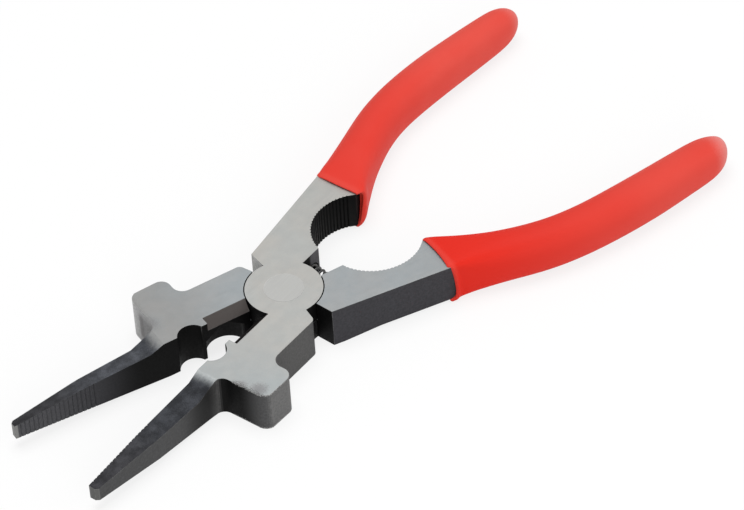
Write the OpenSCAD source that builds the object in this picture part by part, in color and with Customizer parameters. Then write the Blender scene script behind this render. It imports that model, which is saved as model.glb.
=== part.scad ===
// Welding pliers: two levers on one rivet, a return spring and two dipped grips.
// Millimetres, +Z up. The rivet's axis is Z. The jaws point to -X, the handles to +X.
// The origin is on the rivet's axis, level with the underside of the joint.
// A lever is drawn as if the jaws were shut: jaw on the +Y side, handle on the -Y side.

/* [Overall] */
// Thickness of the joint and of the jaws beside it
thickness = 11.4; // [11.0:0.1:12.0]
// Angle between the two levers in the pose that is drawn
opening = 20.8; // [18:0.2:24]
// Space between the shut jaws
jaw_gap = 0.1; // [0.05:0.05:0.3]

/* [Joint] */
// Radius of each lever's half disc at the joint
disc_r = 9.75; // [9.5:0.05:9.9]
// Space round the disc, cut in the other lever
lap_gap = 0.3; // [0.2:0.05:0.4]
// Space between the two half discs
face_gap = 0.06; // [0.04:0.02:0.1]
// Radius of the rivet's shank
shank_r = 3; // [2.5:0.1:3.3]
// Radius of the rivet's dressed heads
head_r = 5; // [4.5:0.1:5.4]
// Depth of the countersink for each head
head_depth = 1.9; // [1.6:0.1:2.2]
// Running clearance round the shank in the lower lever
bore_clearance = 0.04; // [0.03:0.01:0.08]

/* [Jaws] */
// Half width of a jaw beside the joint
jaw_w = 13.05; // [12.8:0.05:13.3]
// Distance from the rivet to the tip of the nose
nose_reach = 76.3; // [74:0.1:80]
// Width of one nose at its tip
tip_w = 2.4; // [2.2:0.1:3]
// Depth of the cutter's bevel
bevel = 2.4; // [2:0.1:2.8]
// Radius of the hollow under the cutter
relief_r = 5.5; // [5.2:0.1:5.8]
// Radius of the grip for contact tips
scallop_r = 3.75; // [3.6:0.05:3.9]

/* [Hammer head] */
// Distance from the centre line to the hammer face
hammer_y = 20; // [19:0.1:21]
// Distance from the rivet to the front of the hammer head
hammer_front = 33; // [32.6:0.1:33.4]
// Distance from the rivet to the back of the hammer head
hammer_back = 22.4; // [22:0.1:22.8]

/* [Handles] */
// Radius of the serrated arc that grips a nozzle
nozzle_r = 12.5; // [12.2:0.1:12.7]
// Angle between the teeth of that arc
tooth_step = 4.6; // [4.4:0.2:5.4]
// Distance from the rivet to the mouth of a grip
mouth_x = 37; // [36.6:0.1:37.4]
// Distance from the rivet to the end of a grip
grip_end = 123; // [121:0.5:126]
// Height of a grip over its fullest stretch
grip_h = 12.4; // [12.2:0.1:12.8]

/* [Spring] */
// Distance from the rivet to the spring's axis
spring_x = 12.9; // [12.8:0.05:13]
// Outer radius of the spring
spring_r = 2; // [1.8:0.05:2.05]
// Thickness of the spring's wire
wire_d = 0.7; // [0.6:0.05:0.75]
// Number of curls
curls = 6; // [5:1:7]
// Half of the spring's length, from pocket to pocket
spring_half = 6.3; // [6:0.1:6.6]

/* [Hidden] */
$fn = 96;
half_open = opening / 2;
mid = thickness / 2;
past = 1;
root_x = -38;
tang_z = [2.7, 9.9];
tang_end = grip_end - 8;
tang_inset = 2.5;
heel = [5.1, -14.1];
outer_slope = 0.1175;
tang_start = mouth_x + 3;
arc_centre = [27.9, 2.85];
handle_rise = 0.8;
pocket_r = spring_r + 0.3;

// Points along a round stretch of an outline.
function arc(centre, r, from, to, steps = 8) =
  [for (i = [0 : steps])
    let (a = from + (to - from) * i / steps)
    centre + r * [cos(a), sin(a)]];

// The middle line of a handle: two straight stretches joined by a gentle bend.
bend_x = 69.85;
bend_y = -22.87;
slope = -0.1025;
turn = 0.2275;
bend_size = 9.3;
function mid_y(x) =
  bend_y + slope * (x - bend_x) + turn * sqrt(pow(x - bend_x, 2) + pow(bend_size, 2));
function mouth_shift(x) = lookup(x, [[37, 0.55], [50, 0]]);
function mid_slope(x) =
  slope + turn * (x - bend_x) / sqrt(pow(x - bend_x, 2) + pow(bend_size, 2));

// Half the width of a grip along its length.
function grip_w(x) =
  lookup(x, [[37, 7.2], [40, 6.85], [46, 6.35], [54, 5.95], [62, 5.9], [86, 5.8], [104, 5.35], [118, 4.95]]);

// The direction across the handle: square to X at the mouth, then to the middle line.
function lean(x) =
  atan(mid_slope(x)) * min(1, (x - mouth_x) / 14);
function across(x) =
  [-sin(lean(x)), cos(lean(x))];

// One jaw with its hammer head and nose, seen from above.
module jaw_outline() {
  y0 = jaw_gap / 2;
  nose_y = nose_width(root_x);
  tip_bevel = 0.7;
  bevel_x = -nose_reach + tip_bevel;
  polygon(concat(
    [[-2, y0]],
    [[-2.75, 8.4]],
    arc([-5.9, jaw_w - 1.6], 1.6, 15, 90),
    arc([-hammer_back + 3, jaw_w + 3], 3, 270, 180),
    arc([-hammer_back - 2.6, hammer_y - 2.6], 2.6, 0, 90),
    arc([-hammer_front + 3, hammer_y - 3], 3, 112, 180),
    arc([-hammer_front - 2.4, nose_y + 2.6], 2.4, 0, -90),
    [[root_x, nose_y]],
    [[-56, nose_width(-56)]],
    [[bevel_x, nose_width(bevel_x)]],
    [[-nose_reach, tip_w - tip_bevel]],
    [[-nose_reach, y0]]
  ));
}

// One handle from the joint to the grip's mouth, seen from above.
module handle_outline() {
  first_tooth = 206;
  last_tooth = 308;
  tooth_r = 0.24;
  difference() {
    polygon([
      [2, -1.55],
      [3.35, -8.6],
      [4.5, -12.2],
      heel,
      [tang_start, heel[1] - outer_slope * (tang_start - heel[0])],
      [tang_start, -6.4],
      [mouth_x, -5.6],
      [mouth_x, -1.55]
    ]);
    translate(arc_centre)
      circle(r = nozzle_r);
    for (a = [first_tooth : tooth_step : last_tooth])
      translate(arc_centre + nozzle_r * [cos(a), sin(a)])
        rotate(a)
          circle(r = tooth_r, $fn = 4);
  }
}

// Width of the nose, which tapers a little faster towards its tip.
function nose_width(x) =
  lookup(-x, [[38, 5.6], [56, 4.7], [nose_reach, tip_w]]);

// Everything above a plane through p that rises by sx along X and sy along Y.
module above(p, sx, sy) {
  lean_y = -atan(sx);
  lean_x = atan(sy * cos(lean_y));
  translate(p)
    rotate([lean_x, lean_y, 0])
      translate([-60, -30, 0])
        cube([90, 60, 30]);
}

// What is ground away above and below the nose. Both faces fall towards the outer edge.
module nose_tapers() {
  across_fall = -0.2;
  underside_rise = 4.55;
  intersection() {
    above([root_x, 0, 9.85], 0.42, 0);
    union() {
      above([root_x, 0, 9.85], 0.0375, across_fall);
      above([-58, 0, 9.1], 0.082, across_fall);
    }
  }
  translate([-hammer_front - 0.4, 0, 0])
    rotate([0, 180 + underside_rise, 0])
      translate([-30, -past, 0])
        cube([90, 12, 20]);
}

// Fine upright grooves on the gripping face of the nose.
module nose_serrations() {
  pitch = 1.2;
  side = 0.26;
  for (x = [-nose_reach + 1.6 : pitch : -54])
    translate([x, jaw_gap / 2, -past])
      rotate(45)
        translate([-side / 2, -side / 2, 0])
          cube([side, side, thickness + 2 * past]);
}

// The bar inside a grip, seen from above.
module tang_outline() {
  xs = [tang_start, 52, 60, 68, 76, 86, 100, tang_end];
  polygon(concat(
    [[tang_start - 2, mid_y(tang_start) + grip_w(tang_start) - tang_inset]],
    [for (x = xs) [x, mid_y(x)] + (grip_w(x) - tang_inset) * across(x)],
    [for (i = [len(xs) - 1 : -1 : 0])
      let (x = xs[i])
      [x, mid_y(x)] - (grip_w(x) - tang_inset) * across(x)],
    [[tang_start - 2, mid_y(tang_start) - grip_w(tang_start) + tang_inset]]
  ));
}

module tang() {
  translate([0, 0, tang_z[0]])
    linear_extrude(tang_z[1] - tang_z[0])
      tang_outline();
}

// The cutter: a bevel down to the edge on top, and a hollow beneath it.
module cutter_cuts() {
  edge_x = -22;
  y0 = jaw_gap / 2;
  hollow = [-17.3, -0.7];
  translate([edge_x, 0, 0])
    rotate([90, 0, 90])
      linear_extrude(-edge_x - 8)
        polygon([
          [y0 - past, thickness - bevel - past],
          [y0 + bevel + past, thickness + past],
          [y0 - past, thickness + past]
        ]);
  translate([hollow[0], hollow[1], -past])
    cylinder(r = relief_r, h = mid + past);
  translate([hollow[0], hollow[1], mid - 0.01])
    cylinder(r1 = relief_r, r2 = 1.6, h = 2.9);
}

// The round hollow that grips a contact tip.
module tip_grip() {
  translate([-27.1, scallop_r * -0.37, -past])
    cylinder(r = scallop_r, h = thickness + 2 * past);
}

// The underside of the handle is a little higher than that of the joint.
module handle_underside() {
  rotate([90, 0, 0])
    linear_extrude(30)
      polygon([[8, 0], [8, -2], [tang_start + 2, -2], [tang_start + 2, handle_rise], [18, handle_rise]]);
}

// The end of the bare handle, which runs a little way into the grip.
module handle_core() {
  difference() {
    linear_extrude(thickness)
      handle_outline();
    handle_underside();
    translate([0, -30, -past])
      cube([mouth_x - 3, 40, thickness + 2 * past]);
  }
}

// The blind hole that holds one end of the spring.
module spring_pocket() {
  rotate(half_open)
    translate([spring_x, 0, mid])
      rotate([90, 0, 0])
        cylinder(r = pocket_r, h = spring_half);
}

// A whole lever. The upper one has its half disc on top, the lower one beneath.
module lever(on_top) {
  disc_h = mid - face_gap / 2;
  own_z = on_top ? mid + face_gap / 2 : 0;
  other_z = on_top ? -past : mid - face_gap / 2;
  bore_r = on_top ? shank_r : shank_r + bore_clearance;
  difference() {
    union() {
      difference() {
        linear_extrude(thickness) {
          jaw_outline();
          handle_outline();
        }
        translate([0, 0, other_z])
          cylinder(r = disc_r + lap_gap, h = mid + face_gap / 2 + past);
        handle_underside();
        nose_tapers();
        nose_serrations();
        cutter_cuts();
        tip_grip();
      }
      translate([0, 0, own_z])
        cylinder(r = disc_r, h = disc_h);
      tang();
    }
    spring_pocket();
    rivet_hole(bore_r, on_top);
  }
}

// Hole for the rivet, with a countersink at the outer face.
module rivet_hole(r, on_top) {
  translate([0, 0, -past])
    cylinder(r = r, h = thickness + 2 * past);
  if (on_top)
    translate([0, 0, thickness - head_depth])
      cylinder(r1 = shank_r, r2 = head_r, h = head_depth);
  if (!on_top)
    cylinder(r1 = head_r + bore_clearance, r2 = shank_r + bore_clearance, h = head_depth);
}

// Both heads are dressed flush, with a fine bevel round the rim.
module rivet() {
  rim = 0.06;
  rotate_extrude()
    polygon([
      [0, 0],
      [head_r - rim, 0],
      [head_r - rim * 1.05, rim],
      [shank_r, head_depth],
      [shank_r, thickness - head_depth],
      [head_r - rim * 1.05, thickness - rim],
      [head_r - rim, thickness],
      [0, thickness]
    ]);
}

// The middle line of the spring's wire at a share t of its length, from 0 to 1.
curl_rings = 8;
wire_sides = 6;
coil_r = spring_r - wire_d / 2;
leg = wire_d * 1.4;
function wire_at(t) =
  let (blend = min(1, t * (curls + 2)) * min(1, (1 - t) * (curls + 2)))
  let (ease = blend * blend * (3 - 2 * blend))
  let (a = 360 * t * (curls + 2))
  let (run = 2 * (spring_half - leg))
  [coil_r * ease * cos(a), -(spring_half - leg) + run * t, coil_r * ease * sin(a)];

// Points of the whole wire, with a straight leg at each end.
wire_steps = (curls + 2) * curl_rings;
wire_path = concat(
  [[0, -spring_half, 0], [0, -spring_half + wire_d, 0]],
  [for (i = [1 : wire_steps - 1]) wire_at(i / wire_steps)],
  [[0, spring_half - wire_d, 0], [0, spring_half, 0]]
);

function unit(v) = v / norm(v);
function heading(path, i) =
  i <= 1 ? [0, 1, 0] : i >= len(path) - 2 ? [0, 1, 0] : unit(path[i + 1] - path[i - 1]);

// The wire as one unbroken tube, with its ring turned along by the shortest way.
function frames(path, i = 0, side = [1, 0, 0]) =
  i == len(path) ? [] :
  let (h = heading(path, i))
  let (s = unit(side - (side * h) * h))
  concat([[path[i], s, cross(h, s)]], frames(path, i + 1, s));

module spring() {
  rings = frames(wire_path);
  n = len(rings);
  points = [for (f = rings, k = [0 : wire_sides - 1])
    let (a = 360 * k / wire_sides)
    f[0] + wire_d / 2 * (cos(a) * f[1] + sin(a) * f[2])];
  faces = concat(
    [for (k = [1 : wire_sides - 2]) [0, k, k + 1]],
    [for (k = [1 : wire_sides - 2]) [0, k + 1, k] + (n - 1) * wire_sides * [1, 1, 1]],
    [for (i = [0 : n - 2], k = [0 : wire_sides - 1])
      let (a = i * wire_sides + k)
      let (b = i * wire_sides + (k + 1) % wire_sides)
      each [[a, a + wire_sides, b], [b, a + wire_sides, b + wire_sides]]]
  );
  translate([spring_x, 0, mid])
    polyhedron(points, faces);
}

// Least space between stretches of the wire that are not neighbours.
near = 5;
self_gap = min([for (i = [0 : len(wire_path) - 1 - near], j = [i + near : len(wire_path) - 1])
  norm(wire_path[i] - wire_path[j])]) - wire_d;
echo(self_gap = self_gap);

// A grip: an outer skin that goes from a boxy mouth to an oval and a round end.
grip_sides = 28;
end_x = grip_end - 9;
grip_xs = concat(
  [mouth_x, mouth_x + 0.8, mouth_x + 2.4],
  [for (i = [0 : 14]) mouth_x + 5 + (end_x - mouth_x - 5) * i / 14]
);
cap_turns = [15, 30, 45, 60, 74];

function signed_power(v, p) = sign(v) * pow(abs(v), p);
function grip_half_h(x) =
  lookup(x, [[37, 6.35], [46, grip_h / 2], [92, grip_h / 2], [118, 5.6]]);

// The mouth's rim stands out on the outer side of the handle.
function bead(x) = lookup(x, [[37, 0.3], [37.8, 0.5], [39.4, 0]]);

// One ring of the skin at x, shrunk by k, with p giving how boxy it is.
function skin_ring(x, k, p) =
  let (c = [x, mid_y(x) + mouth_shift(x)])
  let (h = grip_half_h(x))
  [for (i = [0 : grip_sides - 1])
    let (a = 360 * i / grip_sides)
    let (w = grip_w(x) + (cos(a) < 0 ? bead(x) : 0))
    let (s = w * k * signed_power(cos(a), p))
    let (z = h * k * signed_power(sin(a), p))
    let (xy = c + s * across(x))
    [xy[0], xy[1], h + z]];

function boxy(x) = lookup(x, [[37, 0.3], [40, 0.36], [45, 0.68], [51, 0.9], [58, 0.96]]);

module grip() {
  outer = concat(
    [for (x = grip_xs) skin_ring(x, 1, boxy(x))],
    [for (a = cap_turns) skin_ring(end_x + (grip_end - end_x) * sin(a), pow(cos(a), 0.85), boxy(end_x))]
  );
  tip = [grip_end, mid_y(grip_end), grip_half_h(grip_end)];
  skin = [for (r = outer) each r];
  n = len(outer);
  g = grip_sides;
  tip_at = len(skin);
  difference() {
    polyhedron(concat(skin, [tip]), concat(
      [[for (k = [0 : g - 1]) k]],
      [for (i = [0 : n - 2], k = [0 : g - 1])
        let (a = i * g + k)
        let (b = i * g + (k + 1) % g)
        each [[a, a + g, b], [b, a + g, b + g]]],
      [for (k = [0 : g - 1]) [(n - 1) * g + k, tip_at, (n - 1) * g + (k + 1) % g]]
    ));
    tang();
    handle_core();
  }
}

module upper_lever() {
  color([0.62, 0.62, 0.6])
    rotate(half_open)
      mirror([0, 1, 0])
        lever(true);
}

module lower_lever() {
  color([0.56, 0.56, 0.55])
    rotate(-half_open)
      lever(false);
}

module pivot_rivet() {
  color([0.66, 0.66, 0.64])
    rivet();
}

module return_spring() {
  color([0.3, 0.3, 0.31])
    spring();
}

module upper_grip() {
  color([0.9, 0.25, 0.2])
    rotate(half_open)
      mirror([0, 1, 0])
        grip();
}

module lower_grip() {
  color([0.9, 0.25, 0.2])
    rotate(-half_open)
      grip();
}

upper_lever();
lower_lever();
pivot_rivet();
return_spring();
upper_grip();
lower_grip();
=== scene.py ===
import math
from types import SimpleNamespace
import bpy
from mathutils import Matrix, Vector


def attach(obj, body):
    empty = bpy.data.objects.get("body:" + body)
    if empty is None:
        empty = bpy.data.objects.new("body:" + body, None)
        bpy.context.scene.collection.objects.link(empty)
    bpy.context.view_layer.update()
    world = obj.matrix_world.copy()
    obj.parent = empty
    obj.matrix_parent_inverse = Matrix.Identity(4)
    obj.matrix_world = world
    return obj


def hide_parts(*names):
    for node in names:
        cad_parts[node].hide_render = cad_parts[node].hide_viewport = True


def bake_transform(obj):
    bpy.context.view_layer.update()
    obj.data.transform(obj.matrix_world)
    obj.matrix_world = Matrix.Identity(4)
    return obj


# Welding pliers on a pale floor. Everything is in metres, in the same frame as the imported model:
# the rivet's axis is Z, the jaws point to -X and the handles to +X.
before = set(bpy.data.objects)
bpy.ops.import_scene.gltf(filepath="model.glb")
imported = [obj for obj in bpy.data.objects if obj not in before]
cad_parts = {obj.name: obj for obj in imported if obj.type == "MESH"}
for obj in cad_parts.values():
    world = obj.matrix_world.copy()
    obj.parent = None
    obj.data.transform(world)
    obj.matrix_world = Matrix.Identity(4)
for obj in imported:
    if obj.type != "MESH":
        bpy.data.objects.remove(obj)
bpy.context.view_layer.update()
mm = 0.001
mergeGap = 0.000002  # points nearer than this become one
halfOpening = 10.4  # degrees between X and each lever's own line
print("frame loaded:", ", ".join(sorted(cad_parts)))

camera = {"place": (-0.4462, -0.5538, 0.6844), "turn": (46.899, 2.652, -43.123), "lens": 192.5, "sensor": 36,
          "nearest": 0.01, "farthest": 20}

bpy.ops.object.camera_add(location=camera["place"], rotation=[math.radians(a) for a in camera["turn"]])
photoCamera = bpy.context.object
photoCamera.name = "photoCamera"
photoCamera.data.sensor_width = camera["sensor"]
photoCamera.data.lens = camera["lens"]
photoCamera.data.clip_start = camera["nearest"]
photoCamera.data.clip_end = camera["farthest"]
bpy.context.scene.camera = photoCamera
bpy.context.scene.view_settings.view_transform = "Standard"
print("camera placed")


# Node helpers

def isSocket(value):
    return hasattr(value, "is_linked")


def feed(tree, socket, value):  # links another node's output, or sets the socket's own value
    if isSocket(value):
        tree.links.new(value, socket)
    else:
        socket.default_value = value


def addNode(tree, kind, inputs=None, **settings):
    node = tree.nodes.new(kind)
    for key, value in settings.items():
        setattr(node, key, value)
    for key, value in (inputs or {}).items():
        feed(tree, node.inputs[key], value)
    return node


def mathNode(tree, operation, *values):
    return addNode(tree, "ShaderNodeMath", dict(enumerate(values)), operation=operation).outputs[0]


def times(tree, result, *others):
    for other in others:
        result = mathNode(tree, "MULTIPLY", result, other)
    return result


def greatest(tree, result, *others):
    for other in others:
        result = mathNode(tree, "MAXIMUM", result, other)
    return result


def gapFrom(tree, value, middle):
    return mathNode(tree, "ABSOLUTE", mathNode(tree, "SUBTRACT", value, middle))


def ragged(tree, value, noise, reach):  # a value pushed up and down by noise, which makes its steps uneven
    return mathNode(tree, "MULTIPLY_ADD", mathNode(tree, "SUBTRACT", noise, 0.5), reach, value)


def ramp(tree, value, low, high, start=0.0, end=1.0):  # a soft step between two values
    return addNode(tree, "ShaderNodeMapRange", {"Value": value, "From Min": low, "From Max": high,
                                                "To Min": start, "To Max": end},
                   interpolation_type="SMOOTHSTEP").outputs["Result"]


def mixValue(tree, factor, a, b):
    return addNode(tree, "ShaderNodeMix", {"Factor": factor, 2: a, 3: b}, data_type="FLOAT").outputs[0]


def mixColor(tree, factor, a, b, blend="MIX"):
    a, b = (value if isSocket(value) else (*value, 1.0) for value in (a, b))
    return addNode(tree, "ShaderNodeMix", {"Factor": factor, 6: a, 7: b}, data_type="RGBA",
                   blend_type=blend).outputs[2]


def shaded(tree, color, shade):  # a colour made lighter or darker by a value
    grey = addNode(tree, "ShaderNodeCombineXYZ", {0: shade, 1: shade, 2: shade})
    return mixColor(tree, 1.0, color, grey.outputs[0], "MULTIPLY")


def newGroup(name, inputs, outputs):
    group = bpy.data.node_groups.new(name, "ShaderNodeTree")
    for label, kind, value in inputs:
        socket = group.interface.new_socket(label, in_out="INPUT", socket_type=kind)
        if value is not None:
            socket.default_value = value
    for label, kind in outputs:
        group.interface.new_socket(label, in_out="OUTPUT", socket_type=kind)
    return group, group.nodes.new("NodeGroupInput"), group.nodes.new("NodeGroupOutput")


def useGroup(tree, group, inputs):
    node = tree.nodes.new("ShaderNodeGroup")
    node.node_tree = group
    for key, value in inputs.items():
        feed(tree, node.inputs[key], value)
    return node


def newMaterial(name):
    material = bpy.data.materials.new(name)
    material.use_nodes = True
    return material, material.node_tree, material.node_tree.nodes["Principled BSDF"]


def placeOn(tree, turn=0.0):  # object coordinates in millimetres, turned about Z to lie along a lever
    coords = addNode(tree, "ShaderNodeTexCoord")
    return addNode(tree, "ShaderNodeMapping", {"Vector": coords.outputs["Object"], "Scale": [1 / mm] * 3,
                                               "Rotation": (0, 0, math.radians(turn))}).outputs[0]


def facingOn(tree, turn=0.0):  # the way the surface looks, turned about Z in the same way
    coords = addNode(tree, "ShaderNodeTexCoord")
    turned = addNode(tree, "ShaderNodeMapping", {"Vector": coords.outputs["Normal"],
                                                 "Rotation": (0, 0, math.radians(turn))},
                     vector_type="VECTOR")
    return addNode(tree, "ShaderNodeSeparateXYZ", {0: turned.outputs[0]}).outputs


# Shared effects

edgeLook = {"square": 0.995, "rounded": 0.86, "patches": (0.36, 0.62), "samples": 4}


def buildGrindLines():  # fine scratches of a surface grinder, running along X of the given vector
    tree, given, out = newGroup("grindLines", [("Vector", "NodeSocketVector", None),
                                               ("Density", "NodeSocketFloat", 6.0),
                                               ("Length", "NodeSocketFloat", 12.0)],
                                [("Lines", "NodeSocketFloat")])
    lengthwise = mathNode(tree, "DIVIDE", 1.0, given.outputs["Length"])
    stretch = addNode(tree, "ShaderNodeCombineXYZ", {"X": lengthwise, "Y": given.outputs["Density"],
                                                     "Z": 0.2})
    squeezed = addNode(tree, "ShaderNodeVectorMath", {0: given.outputs["Vector"], 1: stretch.outputs[0]},
                       operation="MULTIPLY")
    noise = addNode(tree, "ShaderNodeTexNoise", {"Vector": squeezed.outputs[0], "Scale": 1.0, "Detail": 3.0,
                                                 "Roughness": 0.6})
    tree.links.new(noise.outputs["Fac"], out.inputs["Lines"])
    return tree


def buildMottle():  # broad cloudy patches with a finer grain over them
    tree, given, out = newGroup("mottle", [("Vector", "NodeSocketVector", None),
                                           ("Patch", "NodeSocketFloat", 0.12),
                                           ("Grain", "NodeSocketFloat", 2.0),
                                           ("Grain share", "NodeSocketFloat", 0.4)],
                                [("Value", "NodeSocketFloat"), ("Fine", "NodeSocketFloat")])
    patch = addNode(tree, "ShaderNodeTexNoise", {"Vector": given.outputs["Vector"],
                                                 "Scale": given.outputs["Patch"], "Detail": 2.0})
    grain = addNode(tree, "ShaderNodeTexNoise", {"Vector": given.outputs["Vector"],
                                                 "Scale": given.outputs["Grain"], "Detail": 4.0,
                                                 "Roughness": 0.65})
    mixed = mixValue(tree, given.outputs["Grain share"], patch.outputs["Fac"], grain.outputs["Fac"])
    tree.links.new(mixed, out.inputs["Value"])
    tree.links.new(grain.outputs["Fac"], out.inputs["Fine"])
    return tree


def buildEdgeWear():  # how worn an edge is: the rounded normal against the real one, broken up by noise
    tree, given, out = newGroup("edgeWear", [("Vector", "NodeSocketVector", None),
                                             ("Radius", "NodeSocketFloat", 0.0003),
                                             ("Break up", "NodeSocketFloat", 0.9)],
                                [("Worn", "NodeSocketFloat")])
    rounded = addNode(tree, "ShaderNodeBevel", {"Radius": given.outputs["Radius"]},
                      samples=edgeLook["samples"])
    real = addNode(tree, "ShaderNodeNewGeometry")
    likeness = addNode(tree, "ShaderNodeVectorMath", {0: rounded.outputs[0], 1: real.outputs["True Normal"]},
                       operation="DOT_PRODUCT")
    off = ramp(tree, likeness.outputs["Value"], edgeLook["square"], edgeLook["rounded"])
    noise = addNode(tree, "ShaderNodeTexNoise", {"Vector": given.outputs["Vector"],
                                                 "Scale": given.outputs["Break up"], "Detail": 4.0})
    patchy = ramp(tree, noise.outputs["Fac"], *edgeLook["patches"])
    tree.links.new(times(tree, off, patchy), out.inputs["Worn"])
    return tree


grindLines = buildGrindLines()
mottle = buildMottle()
edgeWear = buildEdgeWear()
print("shared effects built")


# Levers: ground flat on top and underneath, black oxide on the sides and noses

leverLook = {
    "ground": (0.35, 0.35, 0.34), "groundCool": (0.315, 0.335, 0.33), "groundWarm": (0.36, 0.345, 0.32),
    "handleWall": (0.046, 0.045, 0.050), "jawWall": (0.086, 0.085, 0.084), "noseWall": (0.066, 0.066, 0.067),
    # the inner wall colour is dark oxide that also stands as painted shade on inner faces, arcs and the jaw's
    # back wall
    "hammerEnd": (0.136, 0.135, 0.134), "wornFront": (0.42, 0.42, 0.42), "innerOxideAndShade": (0.002, 0.002, 0.002),
    "shoulder": (0.098, 0.096, 0.103), "noseInner": (0.040, 0.040, 0.044), "noseTeeth": (0.066, 0.066, 0.071),
    # the nose-root colour is painted shadow in the crease where the nose meets the hammer
    "noseRootShade": (0.018, 0.018, 0.018), "noseTop": (0.032, 0.034, 0.039), "noseTip": (0.030, 0.030, 0.033),
    "bareEdge": (0.26, 0.26, 0.25), "chip": (0.5, 0.5, 0.49), "knock": (0.10, 0.10, 0.10),
    # the countersink colour is painted light on the walls round the rivet, which fades the dark gap there
    "stain": (0.13, 0.12, 0.125), "countersink": (0.55, 0.55, 0.54),
    "tintShare": 0.45, "edgeShare": 0.5, "edgeRadius": 0.00035, "gloss": 0.08, "groundMetal": 0.8,
    "oxideMetal": 0.3, "groundRoughness": (0.42, 0.54), "oxideRoughness": (0.48, 0.65),
    "grindShade": (0.965, 1.02), "blotchShade": (0.96, 1.03), "oxideShade": (0.8, 1.22),
    "noseShade": (0.62, 1.55),
    "fadeReach": 4.9, "biteReach": 5.0, "chipReach": 3.5, "stainReach": 1.6, "stainCore": 0.3,
    "grainStrength": 0.3, "grainDepth": 0.00006, "midHeight": 5.7, "stainHeight": 11.0, "streakOff": 13.7,
    "softEdge": 0.00012, "edgeSteps": 2, "sharpFrom": 35, "weld": 0.00001,
}

# Where each finish starts and where it is full, for the soft steps of both levers
leverZones = {
    # along the lever from the rivet, in millimetres, with the jaws at minus
    "groundFade": (-37.7, -34.2), "tip": (-75.3, -75.7), "handleTintShade": (-30.0, -8.0), "jawWall": (2.0, -8.0),
    "noseWall": (-34.0, -38.0), "noseRootShade": (-49.0, -39.0), "noseTop": (-33.0, -36.0),
    "noseTip": (-48.0, -68.0), "gripping": (-40.0, -56.0), "noseTeeth": (-50.0, -70.0),
    "handleFront": (-5.0, 0.0), "jawFront": (9.0, 7.0),
    "behindJaw": (-10.0, -7.0), "arcs": (8.0, 10.0), "shoulder": (12.2, 13.3), "shoulderEnd": (18.5, 17.8),
    "bitten": (-32.1, -32.8), "chipped": (-24.0, -28.0),
    # out from the middle line
    # the hammer front runs from painted shadow at its root to its end, and the shaded front is where that
    # shadow is black
    "hammerEnd": (17.5, 19.5), "hammerFront": (11.5, 19.5), "hammer": (9.0, 10.0), "shadedFront": (17.0, 9.0),
    "gripFace": (0.6, 0.4), "streak": (1.5, 0.4),
    # up or down from mid-thickness
    "wornRim": (2.3, 5.7), "streakHeight": (4.8, 2.8), "bareRim": (5.45, 5.7),
    # out from the rivet's axis
    "discRim": (10.3, 10.0), "countersink": (5.4, 5.2),
    # the way the surface looks: up or down, along the lever, towards the other lever
    "flat": (0.87, 0.90), "sloping": (0.86, 0.80), "slopingLeast": (0.55, 0.62), "upright": (0.6, 0.4),
    "bored": (0.95, 0.85), "forwards": (-0.3, -0.8), "leaning": (-0.1, -0.4), "backwards": (0.6, 0.9),
    "inner": (0.05, 0.4), "straightIn": (0.9, 0.97),
    # the noises
    "tints": (0.35, 0.65), "scratches": (0.25, 0.75), "blotches": (0.32, 0.68), "oxideSpecks": (0.3, 0.72),
    "noseSpecks": (0.38, 0.66), "sheen": (0.3, 0.7),
}

upperOwn = {
    "flip": -1, "handleTintShade": (1.02, 1.01, 1.005), "jawTintShade": (0.90, 0.936, 0.967), "nose": 0.97,
    # on this lever the root of the hammer's front wall and the cutter face are painted shade
    "tipWear": 0.42, "cutterFace": (0.006, 0.005, 0.005), "frontRootShade": (0.002, 0.002, 0.002),
    # the handle's front wall by the disc is painted light grey on this lever
    "frontEnd": (0.080, 0.080, 0.081), "frontWorn": 0.0, "streak": 0.0, "handleFront": (0.5, 0.5, 0.49),
    "jawShade": 1.0, "handleShade": 0.0, "knocks": 0.8,
    "stains": [((-31.5, -16.5), 3.0, 0.55), ((-32.6, -12.0), 2.0, 0.45)],
}
lowerOwn = {
    # this lever's ground tints are darker than the upper lever's, as painted shade
    "flip": 1, "handleTintShade": (0.79, 0.83, 0.88), "jawTintShade": (0.69, 0.70, 0.72), "nose": 1.8,
    # on this lever too the root of the hammer's front wall is painted shade; the cutter face keeps a heat
    # tint
    "tipWear": 0.7, "cutterFace": (0.0735, 0.0655, 0.062), "frontRootShade": (0.23, 0.23, 0.23),
    # the handle's front wall by the disc is painted shade on this lever
    "frontEnd": (0.55, 0.55, 0.55), "frontWorn": 0.6, "streak": 0.6, "handleFront": (0.003, 0.003, 0.003),
    "jawShade": 0.0, "handleShade": 1.0, "knocks": 0.2,
    "stains": [((-34.2, 8.4), 3.6, 0.4)],
}


def zone(tree, value, key, start=0.0, end=1.0):
    return ramp(tree, value, *leverZones[key], start, end)


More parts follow.
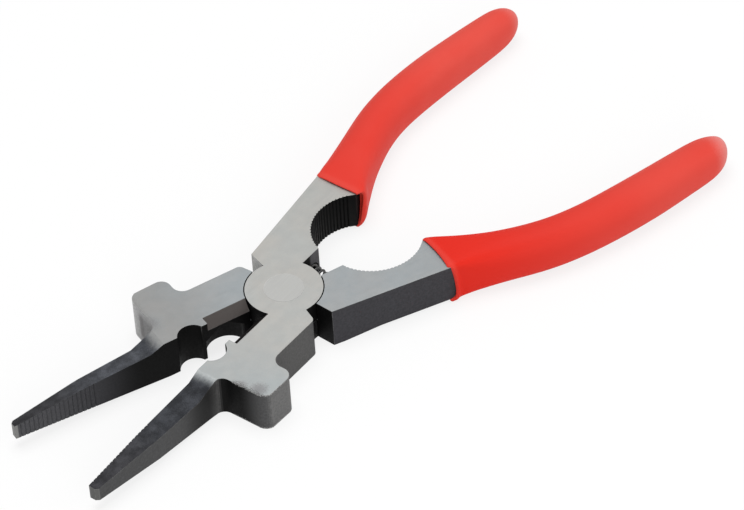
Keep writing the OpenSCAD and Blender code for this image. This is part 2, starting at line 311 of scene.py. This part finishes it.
def readPlaces(tree, turn, look, own):  # where a point lies on its lever, and the noises there
    place = placeOn(tree, turn)
    spot = addNode(tree, "ShaderNodeSeparateXYZ", {0: place}).outputs
    facing = facingOn(tree, turn)
    along = spot["X"]
    off = times(tree, spot["Y"], own["flip"])
    squares = mathNode(tree, "ADD", times(tree, along, along), times(tree, off, off))
    cloud = useGroup(tree, mottle, {"Vector": place, "Patch": 0.09, "Grain": 1.6, "Grain share": 0.35})
    blotch = useGroup(tree, mottle, {"Vector": place, "Patch": 0.35, "Grain": 4.5, "Grain share": 0.5})
    lines = useGroup(tree, grindLines, {"Vector": place, "Density": 5.0, "Length": 9.0}).outputs["Lines"]
    edge = useGroup(tree, edgeWear, {"Vector": place, "Radius": look["edgeRadius"], "Break up": 0.6})
    return SimpleNamespace(
        place=place, along=along, off=off, fromAxis=mathNode(tree, "SQRT", squares),
        height=gapFrom(tree, spot["Z"], look["midHeight"]), upness=mathNode(tree, "ABSOLUTE", facing["Z"]),
        lengthwise=facing["X"],
        inward=times(tree, mathNode(tree, "SIGN", along), times(tree, facing["Y"], own["flip"])),
        cloud=cloud.outputs["Value"], speck=cloud.outputs["Fine"],
        blotch=blotch.outputs["Value"], fine=blotch.outputs["Fine"],
        lines=lines, worn=edge.outputs["Worn"])


def readFaces(tree, at, look):  # a mask for each kind of face
    flat = zone(tree, at.upness, "flat")
    upright = zone(tree, at.upness, "upright")
    fade = zone(tree, ragged(tree, at.along, at.cloud, look["fadeReach"]), "groundFade")
    inner = times(tree, zone(tree, at.inward, "inner"), upright)
    arc = times(tree, zone(tree, at.lengthwise, "leaning"), zone(tree, at.along, "arcs"))
    discRim = times(tree, zone(tree, at.fromAxis, "discRim"), upright)
    shoulder = times(tree, zone(tree, at.along, "shoulder"), zone(tree, at.along, "shoulderEnd"))
    return SimpleNamespace(
        flat=flat, ground=times(tree, flat, fade), noseTop=times(tree, flat, zone(tree, at.along, "noseTop")),
        cutter=times(tree, zone(tree, at.upness, "slopingLeast"), zone(tree, at.upness, "sloping")),
        tip=times(tree, zone(tree, at.along, "tip"), upright),
        front=zone(tree, at.lengthwise, "forwards"),
        # the jaw's back wall, made black as painted shadow
        back=times(tree, zone(tree, at.lengthwise, "backwards"), zone(tree, at.along, "behindJaw")),
        inner=greatest(tree, inner, arc, discRim),
        shoulder=times(tree, shoulder, zone(tree, at.inward, "straightIn")),
        gripping=times(tree, zone(tree, at.off, "gripFace"), zone(tree, at.along, "gripping")),
        countersink=times(tree, zone(tree, at.fromAxis, "countersink"), zone(tree, at.upness, "bored")))


def groundColor(tree, at, look, own):  # cooler on the jaws, brushed, with smudges on the hammer head
    tint = mixColor(tree, zone(tree, at.cloud, "tints"), look["groundCool"], look["groundWarm"])
    ground = mixColor(tree, look["tintShare"], look["ground"], tint)
    # each lever's own tint, darker on the lower lever as painted shade
    ownTintShade = mixColor(tree, zone(tree, at.along, "handleTintShade"), own["jawTintShade"], own["handleTintShade"])
    ground = mixColor(tree, 1.0, ground, ownTintShade, "MULTIPLY")
    ground = shaded(tree, ground, times(tree, zone(tree, at.lines, "scratches", *look["grindShade"]),
                                        zone(tree, at.blotch, "blotches", *look["blotchShade"])))
    for spot, size, share in own["stains"]:
        away = addNode(tree, "ShaderNodeVectorMath", {0: at.place, 1: (*spot, look["stainHeight"])},
                       operation="DISTANCE").outputs["Value"]
        away = ragged(tree, away, at.fine, size * look["stainReach"])
        stained = ramp(tree, away, size, size * look["stainCore"], 0.0, share)
        ground = mixColor(tree, stained, ground, look["stain"])
    return ground


def frontColor(tree, at, look, own):  # the walls that look forwards, with painted light and painted shadow on them
    # painted shadow at the root of the hammer's front wall, lightening towards its end, which the light
    # catches most
    front = mixColor(tree, zone(tree, at.off, "hammerFront"), own["frontRootShade"], own["frontEnd"])
    front = mixColor(tree, zone(tree, at.height, "wornRim", 0.0, own["frontWorn"]), front, look["wornFront"])
    streak = times(tree, zone(tree, gapFrom(tree, at.off, look["streakOff"]), "streak", 0.0, own["streak"]),
                   zone(tree, at.height, "streakHeight"))
    front = mixColor(tree, streak, front, look["stain"])
    # the handle's front wall by the disc: painted light on the upper lever, painted shade on the lower
    return mixColor(tree, zone(tree, at.along, "handleFront"), front, own["handleFront"])


def oxideAndShadeColor(tree, at, face, look, own):  # lighter outside, inner faces black as oxide and painted shade, bluish on the noses
    wall = mixColor(tree, zone(tree, at.along, "jawWall"), look["handleWall"], look["jawWall"])
    # the nose walls darken towards the hammer as painted shadow in the crease
    noseWall = mixColor(tree, zone(tree, at.along, "noseRootShade"), look["noseWall"], look["noseRootShade"])
    wall = mixColor(tree, zone(tree, at.along, "noseWall"), wall, noseWall)
    wall = mixColor(tree, zone(tree, at.off, "hammerEnd"), wall, look["hammerEnd"])
    wall = mixColor(tree, times(tree, face.front, zone(tree, at.along, "jawFront")), wall,
                    frontColor(tree, at, look, own))
    # painted shadow on the jaw's back wall, and black oxide with painted shade on the inner faces
    wall = mixColor(tree, face.back, wall, look["innerOxideAndShade"])
    wall = mixColor(tree, face.inner, wall, look["innerOxideAndShade"])
    wall = mixColor(tree, face.shoulder, wall, look["shoulder"])
    teeth = mixColor(tree, zone(tree, at.along, "noseTeeth"), look["noseInner"], look["noseTeeth"])
    wall = mixColor(tree, face.gripping, wall, teeth)
    noseTop = mixColor(tree, zone(tree, at.along, "noseTip"), [own["nose"] * v for v in look["noseTop"]],
                       look["noseTip"])
    shade = mixValue(tree, face.noseTop, zone(tree, at.speck, "oxideSpecks", *look["oxideShade"]),
                     zone(tree, at.blotch, "noseSpecks", *look["noseShade"]))
    return shaded(tree, mixColor(tree, face.noseTop, wall, noseTop), shade)


def addWear(tree, color, at, face, look, own):  # bare tips and edges, and chips along the hammer's front edge
    color = mixColor(tree, times(tree, face.tip, own["tipWear"]), color, look["bareEdge"])
    keptDark = greatest(tree, face.flat, face.inner, face.gripping)
    rubbed = times(tree, at.worn, mixValue(tree, keptDark, look["edgeShare"], 0.0))
    color = mixColor(tree, rubbed, color, look["bareEdge"])
    hammer = zone(tree, at.off, "hammer")
    bitten = zone(tree, ragged(tree, at.along, at.fine, look["biteReach"]), "bitten", 0.0, own["knocks"])
    color = mixColor(tree, times(tree, bitten, face.flat, hammer), color, look["knock"])
    bare = zone(tree, ragged(tree, at.height, at.fine, look["chipReach"]), "bareRim", 0.0, own["knocks"])
    onWall = mathNode(tree, "SUBTRACT", 1.0, face.flat)
    bare = times(tree, bare, onWall, hammer, zone(tree, at.along, "chipped"))
    return mixColor(tree, bare, color, look["chip"])


def leverSteel(name, turn, look, own):
    material, tree, shader = newMaterial(name)
    at = readPlaces(tree, turn, look, own)
    face = readFaces(tree, at, look)
    color = mixColor(tree, face.ground, oxideAndShadeColor(tree, at, face, look, own),
                     groundColor(tree, at, look, own))
    # the cutter's bevel: a heat tint on the lower lever, painted shade on the upper
    color = mixColor(tree, face.cutter, color, own["cutterFace"])
    color = addWear(tree, color, at, face, look, own)
    # painted light on the walls round the rivet, so that the dark gap round its head shows only faintly
    color = mixColor(tree, face.countersink, color, look["countersink"])
    feed(tree, shader.inputs["Base Color"], color)

    roughGround = zone(tree, at.lines, "sheen", *look["groundRoughness"])
    roughOxide = zone(tree, at.speck, "sheen", *look["oxideRoughness"])
    feed(tree, shader.inputs["Roughness"], mixValue(tree, face.ground, roughOxide, roughGround))
    # the blackest faces, some of them painted shade, are no metal, or they would mirror the pale floor
    jawShade = zone(tree, at.off, "shadedFront", 0.0, own["jawShade"])
    shadedFront = times(tree, mixValue(tree, zone(tree, at.along, "handleFront"), jawShade, own["handleShade"]),
                      face.front)
    black = greatest(tree, face.inner, face.back, shadedFront, times(tree, face.cutter, own["jawShade"]),
                     face.gripping)
    metal = mixValue(tree, face.ground, mixValue(tree, black, look["oxideMetal"], 0.0), look["groundMetal"])
    feed(tree, shader.inputs["Metallic"], metal)
    shader.inputs["Specular IOR Level"].default_value = look["gloss"]

    grain = mixValue(tree, face.ground, at.speck, at.lines)
    bump = addNode(tree, "ShaderNodeBump", {"Strength": look["grainStrength"], "Distance": look["grainDepth"],
                                            "Height": grain})
    feed(tree, shader.inputs["Normal"], bump.outputs[0])
    return material


def dressNode(name, material, edge=None):
    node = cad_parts[name]
    node.data.materials.clear()
    node.data.materials.append(material)
    if edge:
        weld = node.modifiers.new("weld", "WELD")
        weld.merge_threshold = leverLook["weld"]
        bevel = node.modifiers.new("softEdge", "BEVEL")
        bevel.width = edge
        bevel.segments = leverLook["edgeSteps"]
        bevel.limit_method = "ANGLE"
        bevel.angle_limit = math.radians(leverLook["sharpFrom"])
        bevel.use_clamp_overlap = True
        bevel.harden_normals = True


upperSteel = leverSteel("upperLeverSteel", -halfOpening, leverLook, upperOwn)
lowerSteel = leverSteel("lowerLeverSteel", halfOpening, leverLook, lowerOwn)
dressNode("upper_lever", upperSteel, leverLook["softEdge"])
dressNode("lower_lever", lowerSteel, leverLook["softEdge"])
print("levers dressed")


# Rivet: its dressed heads are ground with the levers

# the rim colour on the head's side walls is painted light
rivetLook = {"face": (0.355, 0.355, 0.345), "rim": (0.55, 0.55, 0.54), "rimTurn": (0.9, 0.98), "metal": 0.8,
             "lines": (0.25, 0.75), "shade": (0.96, 1.04), "roughness": (0.42, 0.54), "sheen": (0.3, 0.7),
             "grainStrength": 0.3, "grainDepth": 0.00005}


def rivetSteel(look):
    material, tree, shader = newMaterial("rivetSteel")
    place = placeOn(tree, -halfOpening)
    cloud = useGroup(tree, mottle, {"Vector": place, "Patch": 0.2, "Grain": 1.6, "Grain share": 0.35})
    lines = useGroup(tree, grindLines, {"Vector": place, "Density": 5.0, "Length": 9.0}).outputs["Lines"]
    upness = mathNode(tree, "ABSOLUTE", facingOn(tree)["Z"])
    face = shaded(tree, look["face"], ramp(tree, lines, *look["lines"], *look["shade"]))
    # painted light on the head's side walls, so that the groove round the head shows only faintly
    color = mixColor(tree, ramp(tree, upness, *look["rimTurn"]), look["rim"], face)
    feed(tree, shader.inputs["Base Color"], color)
    rough = ramp(tree, cloud.outputs["Value"], *look["sheen"], *look["roughness"])
    feed(tree, shader.inputs["Roughness"], rough)
    shader.inputs["Metallic"].default_value = look["metal"]
    bump = addNode(tree, "ShaderNodeBump", {"Strength": look["grainStrength"], "Distance": look["grainDepth"],
                                            "Height": lines})
    feed(tree, shader.inputs["Normal"], bump.outputs[0])
    return material


dressNode("pivot_rivet", rivetSteel(rivetLook))
print("rivet dressed")


# Spring: one profile of the wire, screwed round the spring's own line

spring = {"place": (12.9, 0, 5.7), "wire": 0.7, "outer": 2.0, "turns": 8, "half": 6.3, "sides": 12,
          "steps": 28, "dark": (0.02, 0.02, 0.022), "light": (0.11, 0.108, 0.105), "sheen": (0.3, 0.7),
          "roughness": (0.28, 0.42), "metal": 0.9}


def selectNothing():
    bpy.ops.object.select_all(action="DESELECT")


def selectOnly(piece):
    selectNothing()
    piece.select_set(True)
    bpy.context.view_layer.objects.active = piece


def applyPlace(piece):
    selectOnly(piece)
    bpy.ops.object.transform_apply(location=True, rotation=True, scale=True)


def cleanUp(piece, fillEnds=False):  # merges what meets, closes open ends and turns the faces outwards
    selectOnly(piece)
    bpy.ops.object.mode_set(mode="EDIT")
    bpy.ops.mesh.select_all(action="SELECT")
    bpy.ops.mesh.remove_doubles(threshold=mergeGap)
    if fillEnds:
        bpy.ops.mesh.fill_holes(sides=0)
    bpy.ops.mesh.normals_make_consistent(inside=False)
    bpy.ops.object.mode_set(mode="OBJECT")


def buildSpring():
    wireRadius = spring["wire"] / 2
    run = 2 * (spring["half"] - wireRadius)
    selectNothing()
    bpy.ops.mesh.primitive_circle_add(vertices=spring["sides"], radius=wireRadius * mm, fill_type="NOTHING",
                                      location=((spring["outer"] - wireRadius) * mm, -run / 2 * mm, 0))
    piece = bpy.context.object
    piece.name = "springWire"
    applyPlace(piece)
    screw = piece.modifiers.new("turns", "SCREW")
    screw.axis = "Y"
    screw.angle = math.radians(360)
    screw.screw_offset = run / spring["turns"] * mm
    screw.iterations = spring["turns"]
    screw.steps = screw.render_steps = spring["steps"]
    bpy.ops.object.modifier_apply(modifier="turns")
    cleanUp(piece, fillEnds=True)
    piece.location = [v * mm for v in spring["place"]]
    applyPlace(piece)
    bpy.ops.object.shade_smooth()
    return piece


def springSteel():
    material, tree, shader = newMaterial("springSteel")
    cloud = useGroup(tree, mottle, {"Vector": placeOn(tree), "Patch": 0.6, "Grain": 4.0, "Grain share": 0.5})
    color = mixColor(tree, cloud.outputs["Value"], spring["dark"], spring["light"])
    feed(tree, shader.inputs["Base Color"], color)
    rough = ramp(tree, cloud.outputs["Fine"], *spring["sheen"], *spring["roughness"])
    feed(tree, shader.inputs["Roughness"], rough)
    shader.inputs["Metallic"].default_value = spring["metal"]
    return material


springWire = buildSpring()
springWire.data.materials.append(springSteel())
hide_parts("return_spring")
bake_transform(springWire)
print("spring wound:", len(springWire.data.polygons), "faces")


# Grips: a tube drawn out ring by ring along the handle, soft at the mouth and round at the end

# Tables are pairs of a place along the handle and the value there, in millimetres.
grip = {
    "bend": (69.85, -22.87), "slope": -0.1025, "turn": 0.2275, "bendSize": 9.3, "mouth": 37, "leanOver": 14,
    "mouthShift": [(37, 0.55), (50, 0)],
    "halfWidth": [(37, 7.05), (40, 6.85), (46, 6.35), (54, 5.95), (62, 5.85), (86, 5.75), (104, 5.35),
                  (114, 5.05)],
    "halfHeight": [(37, 5.98), (39, 6.12), (43, 6.2), (92, 6.25), (114, 5.75)],
    "flare": [(36.5, 0.75), (37.1, 1.1), (38.0, 0.75), (39.0, 0.25), (40.2, 0.0)],
    "flareMiddle": 0.55, "flareDrop": 0.45,
    "swell": [(36.5, -1.05), (37.1, -0.75), (37.8, -0.2), (39.0, 0.25), (41.0, 0.35), (44.0, 0.2),
              (48.0, 0.0)],
    "swellDrop": 0.7,
    "squareness": [(37, 0.3), (40, 0.36), (45, 0.62), (51, 0.84), (58, 0.93)], "lowerSquare": 0.85,
    "rim": [(36.6, 0.1), (37.1, 0.25), (37.7, 0.2), (38.6, 0.0)],
    "lip": [(37.6, 0.88), (36.75, 0.93), (36.6, 0.975)],
    "rings": [37.0, 37.5, 38.2, 39.2, 40.6, 42.5, 45, 48, 51.5, 55, 59, 63, 67, 71, 75, 80, 86, 92, 98, 104,
              109, 113],
    "points": 16, "bowLength": 5.0, "roundFrom": 113.0, "endRings": (20, 40, 58, 74), "endFullness": 0.85,
    "offFloor": 0.999, "startRadius": 6, "smoothLevels": 2,
}
# The two dips differ a little: how much slimmer on the inner side and all round, how far they lean inwards,
# how long they are, how lopsided their ends are, how much painted sheen lies along them and painted glare
# on their ends, and how far the line falls back from the mouth, point by point from the middle of the inner
# side up over the top and round. The turn lays an open handle along X.
dips = {
    "gripUpper": {"trim": [(44, 0.1), (52, 0.35)],
                  "slim": [(52, 0), (62, 0.2), (72, 0.26), (84, 0.14), (107, 0.16), (113, 0.35)],
                  "shift": [(62, 0), (72, 0.12), (84, -0.16), (113, -0.18)], "end": 122.1, "nib": 0.3,
                  "line": (2.4, 2.5, 0.9, 0.5, 0.35, 0.45, 0.55, 0.8, 0.8, 0.5, 0.2, 0.4, 0.5, 0.4, 0.3, 1.2),
                  "turn": -halfOpening, "sheenSpan": (0.4, 1.0), "tipGlare": 0.4},
    "gripLower": {"trim": [(82, 0.2), (100, -0.3)],
                  "slim": [(44, 0.22), (60, 0), (72, 0.14), (84, 0.06), (95, 0), (113, 0.06)],
                  "shift": [(60, 0), (72, 0.42), (84, 0.03), (95, -0.35), (107, 0), (113, 0.15)],
                  "end": 123.0, "nib": 2.8,
                  "line": (1.2, 1.4, 0.6, 0.65, 0.75, 0.3, 0.15, 0.9, 1.6, 1.5, 0.2, 0.4, 0.5, 0.4, 0.3, 0.7),
                  "turn": halfOpening, "sheenSpan": (0.0, 0.75), "tipGlare": 0.6},
}


def between(table, x):  # straight lines between the points of a table
    if x <= table[0][0]:
        return table[0][1]
    for (x0, y0), (x1, y1) in zip(table, table[1:]):
        if x <= x1:
            return y0 + (y1 - y0) * (x - x0) / (x1 - x0)
    return table[-1][1]


def handleMiddle(x):  # the line that a handle follows, with the jaws shut
    u = x - grip["bend"][0]
    bent = grip["turn"] * math.hypot(u, grip["bendSize"])
    return grip["bend"][1] + grip["slope"] * u + bent + between(grip["mouthShift"], x)


def handleLean(x):
    u = x - grip["bend"][0]
    slope = grip["slope"] + grip["turn"] * u / math.hypot(u, grip["bendSize"])
    return math.atan(slope) * min(1, max(0, (x - grip["mouth"]) / grip["leanOver"]))


def signedPower(value, power):
    return math.copysign(abs(value) ** power, value)


def pushedOut(ring):  # a ring that the smoothing draws in to the one that is wanted
    count = len(ring)
    control = [Vector(p) for p in ring]
    for _ in range(8):  # each round takes away most of what is still missing
        drawn = [(control[k - 1] + 4 * control[k] + control[(k + 1) % count]) / 6 for k in range(count)]
        control = [c + Vector(p) - d for c, p, d in zip(control, ring, drawn)]
    return control


def ringPoints(x, dip, shrink, share):  # a squarish oval round the handle, squarer beneath
    lean = handleLean(x)
    rim = between(grip["rim"], x)
    middle = handleMiddle(x) + between(dip["shift"], x)
    if x > grip["roundFrom"]:
        middle += dip["nib"] * (1 - shrink) ** 2
    height = between(grip["halfHeight"], x) + rim / 2
    points = []
    for k in range(grip["points"]):
        angle = 2 * math.pi * k / grip["points"]
        beneath = k > grip["points"] / 2
        power = between(grip["squareness"], x) * (grip["lowerSquare"] if beneath else 1)
        across, up = signedPower(math.cos(angle), power), signedPower(math.sin(angle), power)
        width = between(grip["halfWidth"], x) + rim - between(dip["slim"], x)
        if across > 0:  # the inner side starts thin on the steel and swells out behind the mouth
            swelling = between(grip["swell"], x) * across * (1 - grip["swellDrop"] * max(0, up) ** 2)
            width += swelling - between(dip["trim"], x)
        if across < 0:  # the mouth flares at its outer side, most of all near the floor
            width += between(grip["flare"], x) * (grip["flareMiddle"] - grip["flareDrop"] * up)
        side = across * width * shrink
        points.append((x + dip["line"][k] * share - side * math.sin(lean), middle + side * math.cos(lean),
                       height * (1 + up * shrink * grip["offFloor"])))
    return pushedOut(points)


def gripStations(dip):  # each ring's place, how far it is drawn in, and its share of the mouth's line
    stations = [(x, shrink, 1.0) for x, shrink in grip["lip"]]
    stations += [(x, 1.0, max(0, 1 - (x - grip["mouth"]) / grip["bowLength"])) for x in grip["rings"]]
    reach = dip["end"] - grip["roundFrom"]
    for angle in (math.radians(a) for a in grip["endRings"]):
        shrink = math.cos(angle) ** grip["endFullness"]
        stations.append((grip["roundFrom"] + reach * math.sin(angle), shrink, 0.0))
    return stations


def openedOut(points, turn, mirrored):  # points of a shut handle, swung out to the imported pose
    angle = math.radians(turn)
    spots = []
    for x, y, z in points:
        y = -y if mirrored else y
        spots.append(Vector((x * math.cos(angle) - y * math.sin(angle),
                             x * math.sin(angle) + y * math.cos(angle), z)) * mm)
    return spots


def roundFromInner(vertex):  # its angle round the tube, counted from just before the inner side
    return (math.atan2(vertex.co.z, vertex.co.y) + 0.1) % (2 * math.pi)


def buildGrip(name, mirrored):
    dip = dips[name]
    stations = gripStations(dip)
    selectNothing()
    bpy.ops.mesh.primitive_circle_add(vertices=grip["points"], radius=grip["startRadius"] * mm,
                                      fill_type="NGON", location=(0, 0, 0),
                                      rotation=(0, math.radians(90), 0))
    piece = bpy.context.object
    piece.name = name
    applyPlace(piece)
    bpy.ops.object.mode_set(mode="EDIT")
    bpy.ops.mesh.select_all(action="SELECT")
    for _ in stations[1:]:  # a millimetre each for now, which numbers the rings
        bpy.ops.mesh.extrude_region_move(TRANSFORM_OT_translate={"value": (mm, 0, 0)})
    bpy.ops.mesh.select_all(action="DESELECT")
    bpy.ops.object.mode_set(mode="OBJECT")

    # each ring, found by how far it was drawn out, takes its own section, point by point from the inner side
    rings = {}
    for vertex in piece.data.vertices:
        rings.setdefault(round(vertex.co.x / mm), []).append(vertex)
    for number, (x, shrink, share) in enumerate(stations):
        ring = sorted(rings[number], key=roundFromInner)
        for vertex, spot in zip(ring, openedOut(ringPoints(x, dip, shrink, share), -dip["turn"], mirrored)):
            vertex.co = spot
    cleanUp(piece)
    smooth = piece.modifiers.new("smooth", "SUBSURF")
    smooth.levels = smooth.render_levels = grip["smoothLevels"]
    bpy.ops.object.modifier_apply(modifier="smooth")
    bpy.ops.object.shade_smooth()
    return piece


gripLook = {
    # the pale colour is a painted sheen
    "mouth": (0.665, 0.019, 0.009), "deep": (0.635, 0.028, 0.017), "pale": (0.66, 0.070, 0.051),
    # the tip colour is painted glare
    "rim": (0.69, 0.070, 0.052), "tip": (0.74, 0.36, 0.34),
    "deepFrom": (38.0, 66.0), "sheenFrom": (48.0, 112.0),
    "patches": (0.3, 0.7), "patchShade": (0.8, 1.2), "glareFrom": (115.5, 123.0), "glareReach": 3.0,
    "rimFrom": (39.4, 38.0), "rimReach": 1.6, "rimShare": 0.42, "grain": 3.0, "gloss": 0.12,
    "roughness": (0.50, 0.63), "grainStrength": 0.2, "grainDepth": 0.00008,
}


def gripVinyl(name, look, dip):
    material, tree, shader = newMaterial(name)
    place = placeOn(tree, dip["turn"])
    cloud = useGroup(tree, mottle, {"Vector": place, "Patch": 0.07, "Grain": look["grain"],
                                    "Grain share": 0.3})
    fine = cloud.outputs["Fine"]
    along = addNode(tree, "ShaderNodeSeparateXYZ", {0: place}).outputs["X"]
    color = mixColor(tree, ramp(tree, along, *look["deepFrom"]), look["mouth"], look["deep"])
    # painted sheen: patchy, paler towards the far end, and stronger on the upper grip
    paintedSheen = times(tree, ramp(tree, along, *look["sheenFrom"], *dip["sheenSpan"]),
                  ramp(tree, cloud.outputs["Value"], *look["patches"], *look["patchShade"]))
    color = mixColor(tree, paintedSheen, color, look["pale"])
    # painted glare on the end of the grip
    tip = ramp(tree, ragged(tree, along, fine, look["glareReach"]), *look["glareFrom"], 0.0, dip["tipGlare"])
    color = mixColor(tree, tip, color, look["tip"])
    rim = ramp(tree, ragged(tree, along, fine, look["rimReach"]), *look["rimFrom"], 0.0, look["rimShare"])
    feed(tree, shader.inputs["Base Color"], mixColor(tree, rim, color, look["rim"]))
    shader.inputs["Specular IOR Level"].default_value = look["gloss"]
    feed(tree, shader.inputs["Roughness"], ramp(tree, fine, *look["patches"], *look["roughness"]))
    bump = addNode(tree, "ShaderNodeBump", {"Strength": look["grainStrength"], "Distance": look["grainDepth"],
                                            "Height": fine})
    feed(tree, shader.inputs["Normal"], bump.outputs[0])
    return material


upperVinyl = gripVinyl("upperVinyl", gripLook, dips["gripUpper"])
lowerVinyl = gripVinyl("lowerVinyl", gripLook, dips["gripLower"])
for name, body, node, mirrored, vinyl in (("gripUpper", "upper_half", "upper_grip", True, upperVinyl),
                                          ("gripLower", "lower_half", "lower_grip", False, lowerVinyl)):
    sleeve = buildGrip(name, mirrored)
    sleeve.data.materials.append(vinyl)
    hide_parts(node)
    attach(sleeve, body)
    print(name, "drawn:", len(sleeve.data.polygons), "faces")


# Floor and light

studio = {
    "floorSize": 6, "floor": 0.86, "floorRoughness": 0.9, "floorGloss": 0.1, "floorGlow": 0.80,
    "worldFill": 0.47,
    "lamps": {
        "overhead": {"place": (0.05, 0.15, 1.1), "target": (0.02, 0, 0), "size": 0.8, "power": 7.6},
        "frontFill": {"place": (-0.45, -0.9, 0.45), "target": (0, 0, 0), "size": 0.7, "power": 3.6},
        "sideFill": {"place": (0.85, -0.65, 0.4), "target": (0.03, 0, 0), "size": 0.7, "power": 2.4},
    },
}


def paleFloor():  # it glows where the camera sees it, so that it stays pale and still takes the shadow
    material, tree, shader = newMaterial("paleFloor")
    shader.inputs["Base Color"].default_value = (*[studio["floor"]] * 3, 1)
    shader.inputs["Roughness"].default_value = studio["floorRoughness"]
    shader.inputs["Specular IOR Level"].default_value = studio["floorGloss"]
    ray = addNode(tree, "ShaderNodeLightPath").outputs
    glow = addNode(tree, "ShaderNodeEmission", {"Color": (1, 1, 1, 1), "Strength": 1.0})
    seen = times(tree, greatest(tree, ray["Is Camera Ray"], ray["Is Glossy Ray"]), studio["floorGlow"])
    mixed = addNode(tree, "ShaderNodeMixShader", {0: seen, 1: shader.outputs[0], 2: glow.outputs[0]})
    feed(tree, tree.nodes["Material Output"].inputs["Surface"], mixed.outputs[0])
    return material


def studioWorld():  # white where it is seen, and dimmer as a light
    world = bpy.data.worlds.new("studioWorld")
    world.use_nodes = True
    tree = world.node_tree
    background = tree.nodes["Background"]
    background.inputs["Color"].default_value = (1, 1, 1, 1)
    ray = addNode(tree, "ShaderNodeLightPath").outputs
    seen = greatest(tree, ray["Is Camera Ray"], ray["Is Glossy Ray"], ray["Is Transmission Ray"])
    feed(tree, background.inputs["Strength"], mixValue(tree, seen, studio["worldFill"], 1.0))
    return world


def softLight(name, place, target, size, power):
    bpy.ops.object.light_add(type="AREA", location=place)
    lamp = bpy.context.object
    lamp.name = name
    lamp.data.shape = "DISK"
    lamp.data.size = size
    lamp.data.energy = power
    lamp.rotation_euler = (Vector(target) - Vector(place)).to_track_quat("-Z", "Y").to_euler()


selectNothing()
bpy.ops.mesh.primitive_plane_add(size=studio["floorSize"], location=(0, 0, 0))
floor = bpy.context.object
floor.name = "floor"
floor.data.materials.append(paleFloor())
bpy.context.scene.world = studioWorld()
for name, lamp in studio["lamps"].items():
    softLight(name, **lamp)
print("floor and lights set")
